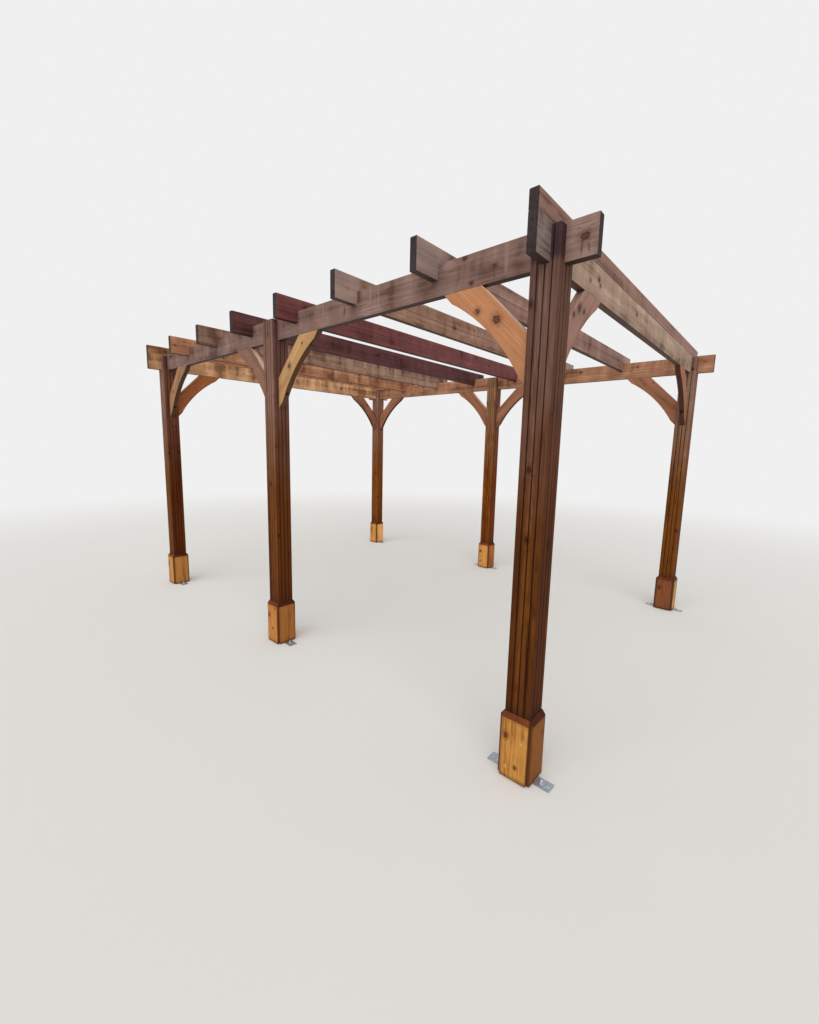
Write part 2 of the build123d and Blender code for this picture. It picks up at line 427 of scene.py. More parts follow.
class Timber(Board):
    """Stained softwood for one timber, worked out along its length (x), its width (y) and its depth (z).

    place is the middle of the timber and the turn that lays its length along X. half is half its length,
    width and depth. The stain is for the faces that look along z, the side stain for those that look along y.
    """

    def __init__(self, name, place, half, seed, stain, side=None, ply=0.0, by_normal=False):
        super().__init__(bpy.data.materials.new(name))
        self.habit = bpy.context.scene.pergola_wood
        self.half = half
        self.seed = seed
        texture = self.object_place()
        self.point = self.add("ShaderNodeMapping", {"vector_type": "TEXTURE"},
                              {"Vector": texture, "Location": place[0], "Rotation": place[1].to_euler()})
        self.x = self.add("ShaderNodeSeparateXYZ", None, {0: self.point})
        self.y, self.z = self.x["Y"], self.x["Z"]
        facing = [self.vector("DOT_PRODUCT", texture["Normal"], place[1].col[i])["Value"] for i in range(3)]
        self.on_end = self.ease(abs(facing[0]), 0.6, 0.85)
        if by_normal:
            self.on_side = abs(facing[1]) > abs(facing[2])
        else:
            self.on_side = (abs(self.y) - half[1]) > (abs(self.z) - half[2])
        self.off_side = 1 - self.on_side
        self.across = self.on_side * self.z + self.off_side * self.y
        self.face = self.on_side * sign(self.y) * SIDE_FACE + self.off_side * sign(self.z) * FLAT_FACE
        self.edge_gap = self.on_side * (half[2] - abs(self.z)) + self.off_side * (half[1] - abs(self.y))
        self.upward = self.off_side * (self.z > 0)
        self.downward = self.off_side * (self.z < 0)
        self.stain = stain
        self.pale = scale(stain, *THIN)
        self.deep = scale(stain, *THICK)
        self.dark = scale(stain, *THICKEST)
        if side is not None:
            self.stain = self.mix(self.on_side, stain, side)
            self.pale = self.mix(self.on_side, self.pale, scale(side, *THIN))
            self.deep = self.mix(self.on_side, self.deep, scale(side, *THICK))
        self.tone = 0.5
        self.grain = self.point
        if ply:
            self.glue_up(ply)
        dice = Random(seed)
        offset = (dice.uniform(-5, 5), dice.uniform(-2, 2), dice.uniform(-2, 2))
        self.grain = self.vector("ADD", self.grain, offset)
        self.pith = (dice.uniform(-0.03, 0.03), dice.choice((-1, 1)) * dice.uniform(0.02, 0.07))
        self.tilt = (dice.uniform(-0.008, 0.008), dice.uniform(-0.012, 0.012))

    def glue_up(self, ply):
        """Give each board of a glued post a grain and a tone of its own."""
        layer = floor(self.y * 0.99 / ply + 0.5)
        chance = self.dice(layer * 3.7 + self.seed * 1.3)
        self.grain = self.vector("ADD", self.point, self.vector("MULTIPLY", chance, (6.0, 0.16, 0.16)))
        self.tone = self.tone + (self.split(chance) - 0.5) * 0.3

    def knots(self, spacing, largest, places=(), smallest=0.22):
        """Scatter knots over every face, and add those whose along, across, face and radius are given.

        The spacing is along and across the timber. The smallest knot is given as a share of the largest.
        """
        ragged = (self.noise(self.join(self.x, self.across, self.face), (90, 90, 1), 3, 0.6) - 0.5) * 1.3
        spot = self.join(self.x / spacing[0] + self.seed * 0.37,
                         self.across / spacing[1] + self.face * 7.31 + self.seed * 0.11)
        cell = self.add("ShaderNodeTexVoronoi", {"voronoi_dimensions": "2D", "feature": "F1"},
                        {"Vector": spot, "Scale": 1.0, "Randomness": 0.85})
        gap = self.vector("MULTIPLY", self.vector("SUBTRACT", spot, cell["Position"]),
                          (spacing[0] * KNOT_SLIMNESS, spacing[1], 0))
        chance = self.split(cell["Color"])
        radius = largest * (smallest + (1 - smallest) * chance * chance)
        shown = chance["Green"] > 0.4
        self.knot, self.rim, self.halo, self.push = self.one_knot(self.size(gap), radius, ragged, shown)
        for along, aside, face, size in places:
            gap = self.join((self.x - along) * KNOT_SLIMNESS, self.across - aside)
            knot, rim, halo, push = self.one_knot(self.size(gap), size, ragged, self.on_face(face))
            self.knot, self.rim, self.halo = high(self.knot, knot), high(self.rim, rim), high(self.halo, halo)
            self.push = self.push + push

    def one_knot(self, distance, radius, ragged, shown):
        """The masks of a knot, its dark rim and the stain round it, and how far it pushes the rings."""
        t = distance / radius
        uneven = t + ragged
        year = self.ease(fract(t * 3.2 + ragged), 0.4, 0.9) * 0.35
        knot = self.ease(uneven, 1.1, 0.6) * (0.65 + year) * shown
        rim = self.ease(abs(uneven - 0.95), 0.3, 0.05) * shown
        halo = self.ease(uneven, 3.2, 0.8) * shown
        return knot, rim, halo, self.ease(t, 4.5, 0.0) * shown * radius

    def on_face(self, face):
        return self.face.work("COMPARE", self.face, face, 0.5)

    def spot(self, along, aside, face, size, slimness=1.3):
        """The mask of a soft spot on one face. It is slimness times as long as it is wide."""
        away = self.size(self.join(self.x - along, (self.across - aside) * slimness))
        return self.ease(away / size + (self.blotch - 0.5) * 1.5, 1.2, 0.4) * self.on_face(face)

    def drip(self, places):
        """Runs down a face: along, lean, top, bottom, width, face, and whether they are pale."""
        for along, lean, upper, lower, width, face, light in places:
            middle = along + (upper - self.across) * lean
            middle = middle + (self.noise(self.point, (20, 20, 30), 2) - 0.5) * 0.012
            line = self.ease(abs(self.x - middle), width, width * 0.2)
            reach = self.ease(self.across, upper + 0.008, upper) * self.ease(self.across, lower, lower + 0.03)
            mask = line * reach * self.on_face(face)
            if light:
                self.cover(mask * self.habit.pale_run, self.pale)
            else:
                self.cover(mask * self.habit.dark_run, self.deep)

    def grow(self, mottle=1.0, runs=0.0):
        """Work out the rings, the streaks and the stain, and mix the colour of plain wood from them."""
        grain = self.grain
        sway = self.split(self.noise(grain, (0.9, 5, 5), 3)["Color"])
        moved = self.add("ShaderNodeSeparateXYZ", None, {0: self.vector("SUBTRACT", grain, self.point)})
        own_place = (fract(moved["Y"] * 5.0) - 0.5) * 0.08
        far_y = self.y - self.pith[0] + self.tilt[0] * self.x + (sway - 0.5) * 0.05 + own_place
        far_z = self.z - self.pith[1] + self.tilt[1] * self.x + (sway["Green"] - 0.5) * 0.06
        self.reach = (far_y * far_y + far_z * far_z) ** 0.5 + self.push * 0.9
        self.angle = far_y.work("ARCTAN2", far_z, far_y)
        year = self.reach / self.habit.ring + self.noise(grain, (0.4, 30, 30), 1) * 1.2
        phase = fract(year)
        band = self.dice(floor(year), "Value")
        self.late = self.ease(phase, 0.35, 0.86) * self.ease(phase, 1.0, 0.9) * (0.45 + 0.55 * band)

        self.broad = self.noise(grain, (0.8, 15, 15), 2)
        self.streak = self.noise(grain, (1.4, 70, 70), 2)
        self.fibre = self.noise(grain, (14, 520, 520), 2, 0.6)
        self.blotch = self.noise(grain, (5, 9, 9), 3, 0.6)
        f = self.tone + (self.broad - 0.5) * 1.2 * mottle + (self.streak - 0.5) * 0.8
        f = f + (self.blotch - 0.5) * 1.0 * mottle + (self.fibre - 0.5) * 0.35
        f = f - self.late * 0.16 - self.halo * 0.2
        if runs:
            f = f + self.stain_runs() * runs
        base = self.mix(self.ease(f, 0.5, 0.0), self.stain, self.deep)
        base = self.mix(self.ease(f, 0.5, 1.05), base, self.pale)
        base = self.mix(self.late * self.habit.late, base, self.deep)
        self.base = self.mix(self.halo * 0.45, base, self.deep)
        self.cover(self.knot * 0.9, tuple(self.habit.knot))
        self.cover(self.rim * 0.8, scale(self.habit.knot, 0.4))
        self.height = self.late * 0.35 + self.fibre * 0.4 - self.rim * 0.5 + self.knot * 0.3
        self.height = self.height + self.broad * 0.6

    def stain_runs(self):
        """Soft upright bands on the sides, and narrow runs from the top edge that fade downwards."""
        wander = self.x + (self.noise(self.grain, (2.5, 2.5, 16), 2) - 0.5) * 0.05
        side = self.face * 0.31 + self.seed
        band = self.noise(self.join(wander, side, self.z * 0.25), (5, 1, 9), 2, 0.55)
        run = self.noise(self.join(wander, side + 4.0), (17, 1, 1), 2, 0.5)
        fall = self.noise(self.join(self.x, side + 9.0), (9, 1, 1), 2)
        down = (self.half[2] - self.z) / (2 * self.half[2])
        reach_down = self.ease(down, fall * 2.4 - 0.2, fall * 2.4 - 0.8)
        return ((band - 0.48) * 2.4 + (run - 0.5) * 1.6 * reach_down) * self.on_side

    def cover(self, mask, tint):
        """Lay a colour over the timber where the mask is 1."""
        self.base = self.mix(mask, self.base, tint)

    def multiply(self, mask, tint):
        """Darken or warm the colour where the mask is 1."""
        self.base = self.mix(mask, self.base, tint, "MULTIPLY")

    def dry_out(self):
        """Open drying checks along the grain, and pale the arrises: partly wear, partly a painted highlight.
        """
        ridge = abs(self.noise(self.grain, (1.1, 22, 22), 3, 0.55) - 0.5)
        torn = self.ease(self.noise(self.grain, (1.7, 5, 5), 1), 0.5, 0.66)
        check = self.ease(ridge, 0.009, 0.002) * torn * self.habit.check
        self.cover(check * 0.8, self.dark)
        # Pale arrises: partly wear, partly a painted highlight where the rounded edges catch the light
        worn = self.ease(self.edge_gap, 0.0045, 0.001) * self.ease(self.blotch, 0.35, 0.6)
        self.cover(worn * self.habit.worn, self.pale)
        self.height = self.height - check * 2.2

    def saw_ends(self):
        """Show the rings and the end checks on the cut ends."""
        ray = abs(self.noise(self.join(self.angle, self.reach * 0.5, self.seed), (7, 12, 1), 2) - 0.5)
        split = self.ease(ray, 0.02, 0.004)
        tint = tuple(self.habit.end_grain)
        cut = self.mix(self.late * 0.6 + (self.blotch - 0.4) * 0.6, tint, scale(tint, 0.35))
        cut = self.mix(self.ease(self.blotch, 0.55, 0.8) * 0.3, cut, self.deep)
        cut = self.mix(split * 0.7, cut, scale(tint, 0.15))
        self.cover(self.on_end, cut)
        self.height = self.height - self.on_end * split * 2.0

    def close(self, gloss=None):
        """Join up the finish of the timber."""
        rough = 0.68 + (self.fibre - 0.5) * 0.3 + (self.blotch - 0.5) * 0.2 - self.late * 0.08
        return self.finish(self.base, rough + self.on_end * 0.15, self.height, 0.5,
                           Specular_IOR_Level=gloss or self.habit.gloss)


def soften(thing, name, width, segments, sharpest):
    """Round every edge where faces meet at more than that many degrees."""
    bevel = thing.modifiers.new(name, "BEVEL")
    bevel.width = width
    bevel.segments = segments
    bevel.limit_method = "ANGLE"
    bevel.angle_limit = math.radians(sharpest)


def dress(node_name, material):
    """Give a CAD node its finish, and soften its sawn edges."""
    node = NODES[node_name]
    if not node.material_slots:
        node.data.materials.append(material)
    for slot in node.material_slots:
        slot.material = material
    weld = node.modifiers.new("Join corners", "WELD")
    weld.merge_threshold = 0.00002
    soften(node, "Soften edges", bpy.context.scene.pergola_wood.rounding, 2, 25)


def middle_of(node_name):
    lowest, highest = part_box(node_name)
    return (lowest + highest) / 2


def half_of(node_name):
    lowest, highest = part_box(node_name)
    return (highest - lowest) / 2


def seed_of(kind, count):
    first, step = SEEDS[kind]
    return first + count * step


def columns(first, second, third):
    """The turn that takes X, Y and Z to these directions."""
    return Matrix((first, second, third)).transposed()


def timber_of(node_name, turn, seed, stain, side=None, ply=0.0):
    """The wood of a timber that fills the box of its node and runs the way that the turn takes X."""
    size = half_of(node_name)
    half = [abs(way.dot(size)) for way in turn.col]
    return Timber(title(node_name), (middle_of(node_name), turn), half, seed, stain, side, ply)


UPRIGHT = columns((0, 0, 1), (0, 1, 0), (-1, 0, 0))
ALONG = columns((0, 1, 0), (-1, 0, 0), (0, 0, 1))
ACROSS = Matrix.Identity(3)

# Knots put in place one by one: along the timber from its middle, across the face, the face and the radius
KNOTS = {
    "post_front_right": [(0.235, 0.013, 5, 0.008), (-0.054, 0.006, 5, 0.007), (0.878, 0.051, 5, 0.007),
                         (-0.075, -0.01, -3, 0.008)],
    "post_back_left": [(-0.78, 0, 5, 0.012)],
    "long_beam_front": [(-1.74, -0.009, 3, 0.008), (-2.116, 0.001, 3, 0.012)],
    "end_beam_right": [(-0.987, 0.015, -3, 0.009), (-0.963, -0.005, -3, 0.008), (-0.347, 0.01, -3, 0.011),
                       (0.287, -0.053, -3, 0.009), (-1.09, -0.017, -3, 0.006)],
    "brace_front_right_to_left": [(0.111, 0.012, -3, 0.009), (0.006, -0.022, -3, 0.013)],
    "brace_front_right_across": [(0.077, -0.046, 3, 0.013), (0.011, -0.06, 3, 0.009),
                                 (0.113, -0.005, 3, 0.008)],
}
SKIRT_KNOTS = [(0.049, 0.039, 5, 0.009)]
# Patches of a post where the stain has worn thin, in the same order
WORN_PATCHES = {
    "front_right": [(-0.423, -0.05, 5, 0.05), (-0.36, -0.02, 5, 0.04), (-0.455, -0.04, -3, 0.04)],
    "back_middle": [(-0.2, 0.03, 5, 0.06)],
    "front_left": [(0.1, 0.02, 5, 0.06)],
}
# Pale spots on the boards of every skirt
PALE_SPOTS = [(0.038, -0.036, 5, 0.009), (-0.1, 0.035, 5, 0.011), (0.006, -0.002, -3, 0.008)]
# Runs in the stain: along the timber, lean, top and bottom across the face, width, face, and pale or not
BEAM_RUNS = {
    "long_beam_front": [
        (-1.738, -0.1, -0.012, -0.07, 0.008, 3, False), (-1.561, 0.43, -0.009, -0.065, 0.005, 3, False),
        (-2.107, 0.0, -0.012, -0.07, 0.007, 3, False), (-2.129, -0.3, -0.03, -0.07, 0.006, 3, False),
        (-0.768, 0.3, 0.0, -0.05, 0.012, 3, False), (-0.885, 0.0, 0.07, 0.0, 0.014, 3, False),
        (-1.795, 0.0, 0.072, -0.065, 0.014, 3, True), (-0.974, 0.0, 0.072, -0.02, 0.012, 3, True),
        (-1.039, 0.0, 0.072, -0.05, 0.01, 3, True), (-0.562, 0.0, 0.072, -0.03, 0.012, 3, True),
        (1.032, 0.1, 0.03, -0.06, 0.02, 3, True),
    ],
    "end_beam_left": [
        (0.27, 0.0, 0.072, -0.07, 0.06, -3, True), (0.55, 0.1, 0.072, -0.05, 0.08, -3, True),
    ],
    "rafter_2": [
        (-0.874, 0.45, 0.072, 0.0, 0.007, -3, False), (-0.672, -0.07, 0.03, -0.07, 0.007, -3, False),
        (-0.488, 0.07, 0.045, -0.01, 0.006, -3, False), (-0.33, 0.33, 0.06, -0.066, 0.008, -3, False),
        (-1.09, 0.1, 0.05, -0.068, 0.014, -3, True),
    ],
    "rafter_5": [
        (-0.08, 0.0, 0.072, -0.06, 0.07, -3, True), (0.14, 0.1, 0.072, -0.03, 0.025, -3, True),
        (0.4, 0.0, 0.072, -0.06, 0.06, -3, True), (0.62, 0.0, 0.06, -0.05, 0.03, -3, True),
        (1.2, 0.0, 0.072, -0.05, 0.08, -3, True), (-0.42, 0.0, 0.072, -0.04, 0.05, -3, False),
    ],
    "rafter_6": [
        (0.2, 0.0, 0.072, -0.06, 0.06, -3, True), (0.42, 0.1, 0.06, -0.06, 0.08, -3, True),
    ],
}


def brace_corner(name):
    """The corner that a brace stands in, and the way it reaches out from the post."""
    parts = name.split("_")
    post = middle_of(f"post_{parts[1]}_{parts[2]}")
    lowest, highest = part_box(name)
    away = (lowest + highest) / 2 - post
    away.z = 0
    if abs(away.x) > abs(away.y):
        outward = Vector((math.copysign(1, away.x), 0, 0))
        corner = Vector((lowest.x if outward.x > 0 else highest.x, post.y, highest.z))
    else:
        outward = Vector((0, math.copysign(1, away.y), 0))
        corner = Vector((post.x, lowest.y if outward.y > 0 else highest.y, highest.z))
    return corner, outward


def brace_names(start="brace_"):
    return sorted(name for name in NODES if name.startswith(start))


def turn_profile(shape, profile, place, steps=16):
    """Spin a profile of radii and heights into a closed round shape, then put it in its place."""
    before = set(shape.verts)
    verts = [shape.verts.new((radius, 0, rise)) for radius, rise in profile]
    edges = [shape.edges.new(pair) for pair in zip(verts, verts[1:])]
    bmesh.ops.spin(shape, geom=verts + edges, cent=(0, 0, 0), axis=(0, 0, 1), dvec=(0, 0, 0),
                   angle=math.tau, steps=steps, use_merge=True, use_duplicate=False)
    made = [vert for vert in shape.verts if vert not in before]
    bmesh.ops.transform(shape, matrix=place, verts=made)


def place_at(point, direction):
    """The matrix that stands a shape on a point, with its Z along a direction."""
    return Matrix.Translation(point) @ direction.to_track_quat("Z", "Y").to_matrix().to_4x4()


def parts_of(grown, kind):
    """The vertices, edges or faces among what an operator has made."""
    return [part for part in grown if isinstance(part, kind)]


def mesh_of(shape, name):
    """Turn a finished shape into a mesh."""
    mesh = bpy.data.meshes.new(name)
    shape.to_mesh(mesh)
    shape.free()
    return mesh


def add_object(name, data):
    """Put a mesh, a light or a camera into the scene."""
    thing = bpy.data.objects.new(name, data)
    bpy.context.scene.collection.objects.link(thing)
    return thing


def new_piece(name, shape, material):
    """Turn a finished shape into a piece of the pergola."""
    bmesh.ops.remove_doubles(shape, verts=shape.verts, dist=0.00001)
    bmesh.ops.recalc_face_normals(shape, faces=shape.faces)
    mesh = mesh_of(shape, name)
    mesh.materials.append(material)
    mesh.set_sharp_from_angle(angle=SMOOTH_BELOW)
    for polygon in mesh.polygons:
        polygon.use_smooth = True
    piece = add_object(name, mesh)
    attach(piece, "root")
    return piece


def make_zinc(name, kind, shade=1.0, rough=0.42, metallic=0.75):
    """Galvanised or plated steel, with crystals of zinc and patches of white bloom."""
    metal = bpy.context.scene.pergola_metal
    tint = scale(getattr(metal, kind), shade)
    board = Board(bpy.data.materials.new(name))
    texture = board.object_place()
    cell = board.add("ShaderNodeTexVoronoi", {"voronoi_dimensions": "3D", "feature": "F1"},
                     {"Vector": texture, "Scale": 1 / metal.spangle, "Randomness": 1.0})
    chance = board.split(cell["Color"])
    cloud = board.noise(texture, (45, 45, 45), 4, 0.6)
    scratch = board.noise(texture, (900, 160, 300), 2)
    base = board.mix(chance * 0.55 + (cloud - 0.5) * 0.8, tint, scale(tint, 0.55))
    base = board.mix(board.ease(cloud, 0.55, 0.75) * 0.5, base, tuple(metal.bloom))
    roughness = rough + (chance["Green"] - 0.5) * 0.2 + (cloud - 0.5) * 0.4 + (scratch - 0.5) * 0.15
    height = chance["Blue"] * 0.2 + scratch * 0.3 + cloud * 0.5
    return board.finish(base, roughness, height, 0.12, Metallic=metallic)


class Step:
    """What the operators share: each finishes or makes its pieces by a group of settings."""

    def execute(self, context):
        self.work(getattr(context.scene, self.settings))
        return {"FINISHED"}


class PERGOLA_OT_posts(Step, bpy.types.Operator):
    """Finish the six grooved posts"""
    bl_idname = "pergola.posts"
    bl_label = "Posts"
    settings = "pergola_posts"

    def work(self, finish):
        for count, place in enumerate(PLACES):
            name = f"post_{place}"
            wood = timber_of(name, UPRIGHT, seed_of("post", count), getattr(finish, place),
                             getattr(finish, f"side_{place}"), finish.ply)
            wood.knots((0.36, 0.1), 0.008, KNOTS.get(name, ()))
            wood.grow(mottle=0.8)
            wood.dry_out()
            for along, aside, face, size in WORN_PATCHES.get(place, ()):
                worn = wood.spot(along, aside, face, size, 3.0) * wood.ease(wood.streak, 0.2, 0.6)
                wood.cover(worn * finish.worn, wood.pale)
            weather_and_shade_post(wood, finish, 1.0 if place == "front_right" else 0.3)
            wood.saw_ends()
            dress(name, wood.close(finish.gloss))


def weather_and_shade_post(wood, finish, head):
    """Glued seams, grooves darkened by pooled stain and painted shade, and stain that grows warm and dark
    towards the ground.

    head is how strongly the painted shade from the beams darkens the post between them.
    """
    seam = wood.ease(abs(fract(wood.y / finish.ply + 0.5) - 0.5), 0.488, 0.497) * wood.off_side
    wood.cover(seam * 0.45, wood.deep)
    wood.height = wood.height - seam * 0.6
    # The grooves: partly pooled stain, partly painted shade down in them
    sunk = wood.ease(high(abs(wood.y), abs(wood.z)), wood.half[1] - 0.0004, wood.half[1] - finish.groove)
    body = wood.ease(wood.x, wood.half[0] - 0.004, wood.half[0] - 0.012)
    wood.cover(sunk * body * 0.85, wood.dark)
    above = wood.x + wood.half[0]
    rise = above + (wood.blotch - 0.5) * 0.5 + (wood.streak - 0.5) * 0.3
    wood.multiply(wood.ease(rise, finish.foot_top, finish.foot_low), tuple(finish.foot))
    damp = above + (wood.streak - 0.5) * 0.1
    wood.multiply(wood.ease(damp, finish.damp_top, finish.damp_low), tuple(finish.damp))
    # Darker just above where the post comes out of the skirt
    wood.cover(wood.ease(above + (wood.streak - 0.5) * 0.06, 0.37, 0.315) * 0.45, wood.dark)
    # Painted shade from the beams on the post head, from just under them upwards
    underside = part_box("long_beam_front")[0].z
    wood.multiply(wood.ease(above, underside - 0.005, underside + 0.03) * head, tuple(finish.head))


class PERGOLA_OT_beams(Step, bpy.types.Operator):
    """Finish the long beams, the end beams and the rails on top of them"""
    bl_idname = "pergola.beams"
    bl_label = "Beams and rails"
    settings = "pergola_beams"

    def work(self, finish):
        for count, row in enumerate(ROWS):
            finish_timber(f"long_beam_{row}", ALONG, seed_of("long_beam", count), finish, 1.5)
        for count, end in enumerate(("right", "left")):
            for kind, runs in (("end_beam", 1.1), ("end_rail", 0.6)):
                name = f"{kind}_{end}"
                grey = tuple(finish.grey) if name == "end_beam_right" else None
                finish_timber(name, ACROSS, seed_of(kind, count), finish, runs * (1 + count), grey=grey)


def finish_timber(name, turn, seed, finish, runs, grey=None, silver=0.0, rafter=False):
    """Finish a beam, a rail or a rafter, with runs times the usual runs in its stain.

    Its ends past the long beams can be multiplied by a grey, or silvered. Rafters have a glued joint along
    the middle and screw holes over the long beams; the holes are only painted, dark with painted shade.
    """
    beam = middle_of("long_beam_back").x
    wood = timber_of(name, turn, seed, getattr(finish, name))
    wood.knots((0.42, 0.13), 0.013, KNOTS.get(name, ()))
    wood.grow(1.0, finish.runs * runs)
    wood.dry_out()
    if rafter:
        wobble = (wood.noise(wood.point, (3, 40, 40), 2) - 0.5) * 0.003
        joint = wood.ease(abs(wood.z + wobble), 0.0036, 0.0008) * wood.on_side
        wood.cover(joint * finish.seam * wood.ease(wood.broad, 0.25, 0.5), wood.dark)
    outside = wood.ease(abs(wood.x) + (wood.blotch - 0.5) * 0.1, beam - 0.06, beam + 0.02)
    if silver:
        wood.cover(outside * silver * (0.7 + wood.streak * 0.6), tuple(wood.habit.silver))
    if grey:
        wood.multiply(outside, grey)
    wood.cover(wood.upward * 0.35, wood.deep)
    # Painted shade on the undersides
    wood.multiply(wood.downward * 0.9, tuple(wood.habit.underside))
    wood.drip(BEAM_RUNS.get(name, ()))
    if rafter:
        # Painted shade of the sunk screw holes over the long beams
        away = wood.size(wood.join(abs(wood.x) - beam, wood.y))
        hole = wood.ease(away, finish.screw, finish.screw - 0.001) * wood.upward
        wood.cover(hole * 0.9, tuple(finish.hole))
        wood.height = wood.height - hole * 3.0
    wood.saw_ends()
    dress(name, wood.close())


class PERGOLA_OT_rafters(Step, bpy.types.Operator):
    """Finish the six rafters"""
    bl_idname = "pergola.rafters"
    bl_label = "Rafters"
    settings = "pergola_rafters"

    def work(self, finish):
        for count in range(6):
            runs = 2 if count > 3 else 1
            silver = finish.silver if count < 2 else 0.0
            finish_timber(f"rafter_{count + 1}", ACROSS, seed_of("rafter", count), finish, runs,
                          silver=silver, rafter=True)


class PERGOLA_OT_braces(Step, bpy.types.Operator):
    """Finish the twelve knee braces"""
    bl_idname = "pergola.braces"
    bl_label = "Braces"
    settings = "pergola_braces"

    def work(self, finish):
        for count, name in enumerate(brace_names()):
            corner, outward = brace_corner(name)
            lengthways = (outward + UP).normalized()
            hollow = (outward - UP).normalized()
            lowest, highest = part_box(name)
            half = finish.depth / 2
            centre = corner + hollow * ((highest.z - lowest.z) / math.sqrt(2) - half)
            turn = columns(lengthways, hollow.cross(lengthways), hollow)
            thick = min(highest.x - lowest.x, highest.y - lowest.y) / 2
            wood = Timber(title(name), (centre, turn), (1.0, thick, half), seed_of("brace", count),
                          getattr(finish, name, finish.back_row), by_normal=True)
            wood.knots((0.3, 0.12), 0.012, KNOTS.get(name, ()))
            wood.grow(0.8)
            wood.dry_out()
            # Painted shade on the hollow edge, which faces down
            wood.multiply(wood.upward * finish.hollow, tuple(wood.habit.underside))
            # Painted shade down in the screw pockets, on their inner walls
            flank = wood.on_side * (abs(wood.y) < thick - 0.004)
            inside = high(flank, wood.off_side * (abs(wood.z) < half - 0.04))
            wood.cover(inside * finish.pocket, wood.dark)
            # Painted highlight along the straight outer edge, stronger on the braces under the long beams
            outer = wood.downward * (wood.z < 0.004 - half)
            worn = finish.worn_long if abs(outward.y) > abs(outward.x) else finish.worn_end
            wood.cover(outer * (worn + (wood.streak - 0.5) * worn), tuple(finish.edge))
            wood.saw_ends()
            dress(name, wood.close())


class PERGOLA_OT_skirts(Step, bpy.types.Operator):
    """Finish the skirting boards round the feet of the posts"""
    bl_idname = "pergola.skirts"
    bl_label = "Skirts"
    settings = "pergola_skirts"

    def work(self, finish):
        for count, place in enumerate(PLACES):
            name = f"skirt_{place}"
            wood = timber_of(name, UPRIGHT, seed_of("skirt", count), getattr(finish, place),
                             getattr(finish, f"side_{place}"))
            wood.knots((0.16, 0.09), 0.006, SKIRT_KNOTS)
            wood.grow(mottle=0.7)
            wood.dry_out()
            weather_and_shade_skirt(wood, finish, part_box(name)[0].z)
            dress(name, wood.close())


def weather_and_shade_skirt(wood, finish, ground):
    """Pale spots, stain run together on the bevels and along the board edges, and painted shadow at the
    ground.
    """
    for along, aside, face, size in PALE_SPOTS:
        wood.cover(wood.spot(along, aside, face, size) * 0.4, wood.pale)
    rise = wood.x + wood.half[0] + ground
    end_gap = finish.end - (wood.half[1] - wood.edge_gap)
    uneven = (wood.noise(wood.point, (30, 60, 60), 3, 0.6) - 0.5) * 0.03
    # Stain along the ends of the boards, painted shadow where they meet the ground, and stain below the bevel
    wood.cover(wood.ease(end_gap + uneven * 0.5, 0.012, 0.0) * 0.5, wood.deep)
    # Painted shadow along the foot of the boards, where they meet the ground
    wood.cover(wood.ease(rise + uneven * 0.6, 0.03, 0.004) * 0.7, wood.dark)
    bleed = wood.ease(rise + uneven * 1.4, finish.shoulder - 0.022, finish.shoulder)
    wood.cover(bleed * 0.5, wood.deep)
    bevel = wood.ease(rise + (wood.streak - 0.5) * 0.006, finish.shoulder - 0.002, finish.shoulder + 0.001)
    wood.cover(bevel * 0.9, tuple(finish.bevel))
    wood.cover(bevel * wood.ease(wood.blotch, 0.42, 0.75) * 0.6, scale(finish.bevel, 3.0, 4.2, 3.0))
    wood.multiply(bevel * wood.on_side, tuple(finish.side_bevel))
    # The dark line between two boards at a corner
    wood.cover(wood.ease(end_gap, 0.0016, -0.0004) * 0.9, wood.dark)


class PERGOLA_OT_brackets(Step, bpy.types.Operator):
    """Make the galvanised angle brackets, each bent up from one plate with two holes in its foot"""
    bl_idname = "pergola.brackets"
    bl_label = "Brackets"
    settings = "pergola_fixings"

    def work(self, sizes):
        zinc = make_zinc("Galvanised steel", "zinc")
        for place in PLACES:
            name = f"foot_brackets_{place}"
            post_low, post_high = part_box(f"post_{place}")
            low_corner, high_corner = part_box(name)
            centre = (post_low + post_high) / 2
            shape = bmesh.new()
            for heel, turn in ((post_low.y, -90), (post_high.y, 90)):
                at = Matrix.Translation((centre.x, heel, 0)) @ Matrix.Rotation(math.radians(turn), 4, "Z")
                reach = post_low.y - low_corner.y
                add_bracket(shape, sizes, reach, high_corner.x - centre.x, high_corner.z, at)
            piece = new_piece(f"brackets_{place}", shape, zinc)
            soften(piece, "Ease edges", sizes.eased, 1, 50)
            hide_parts(name)


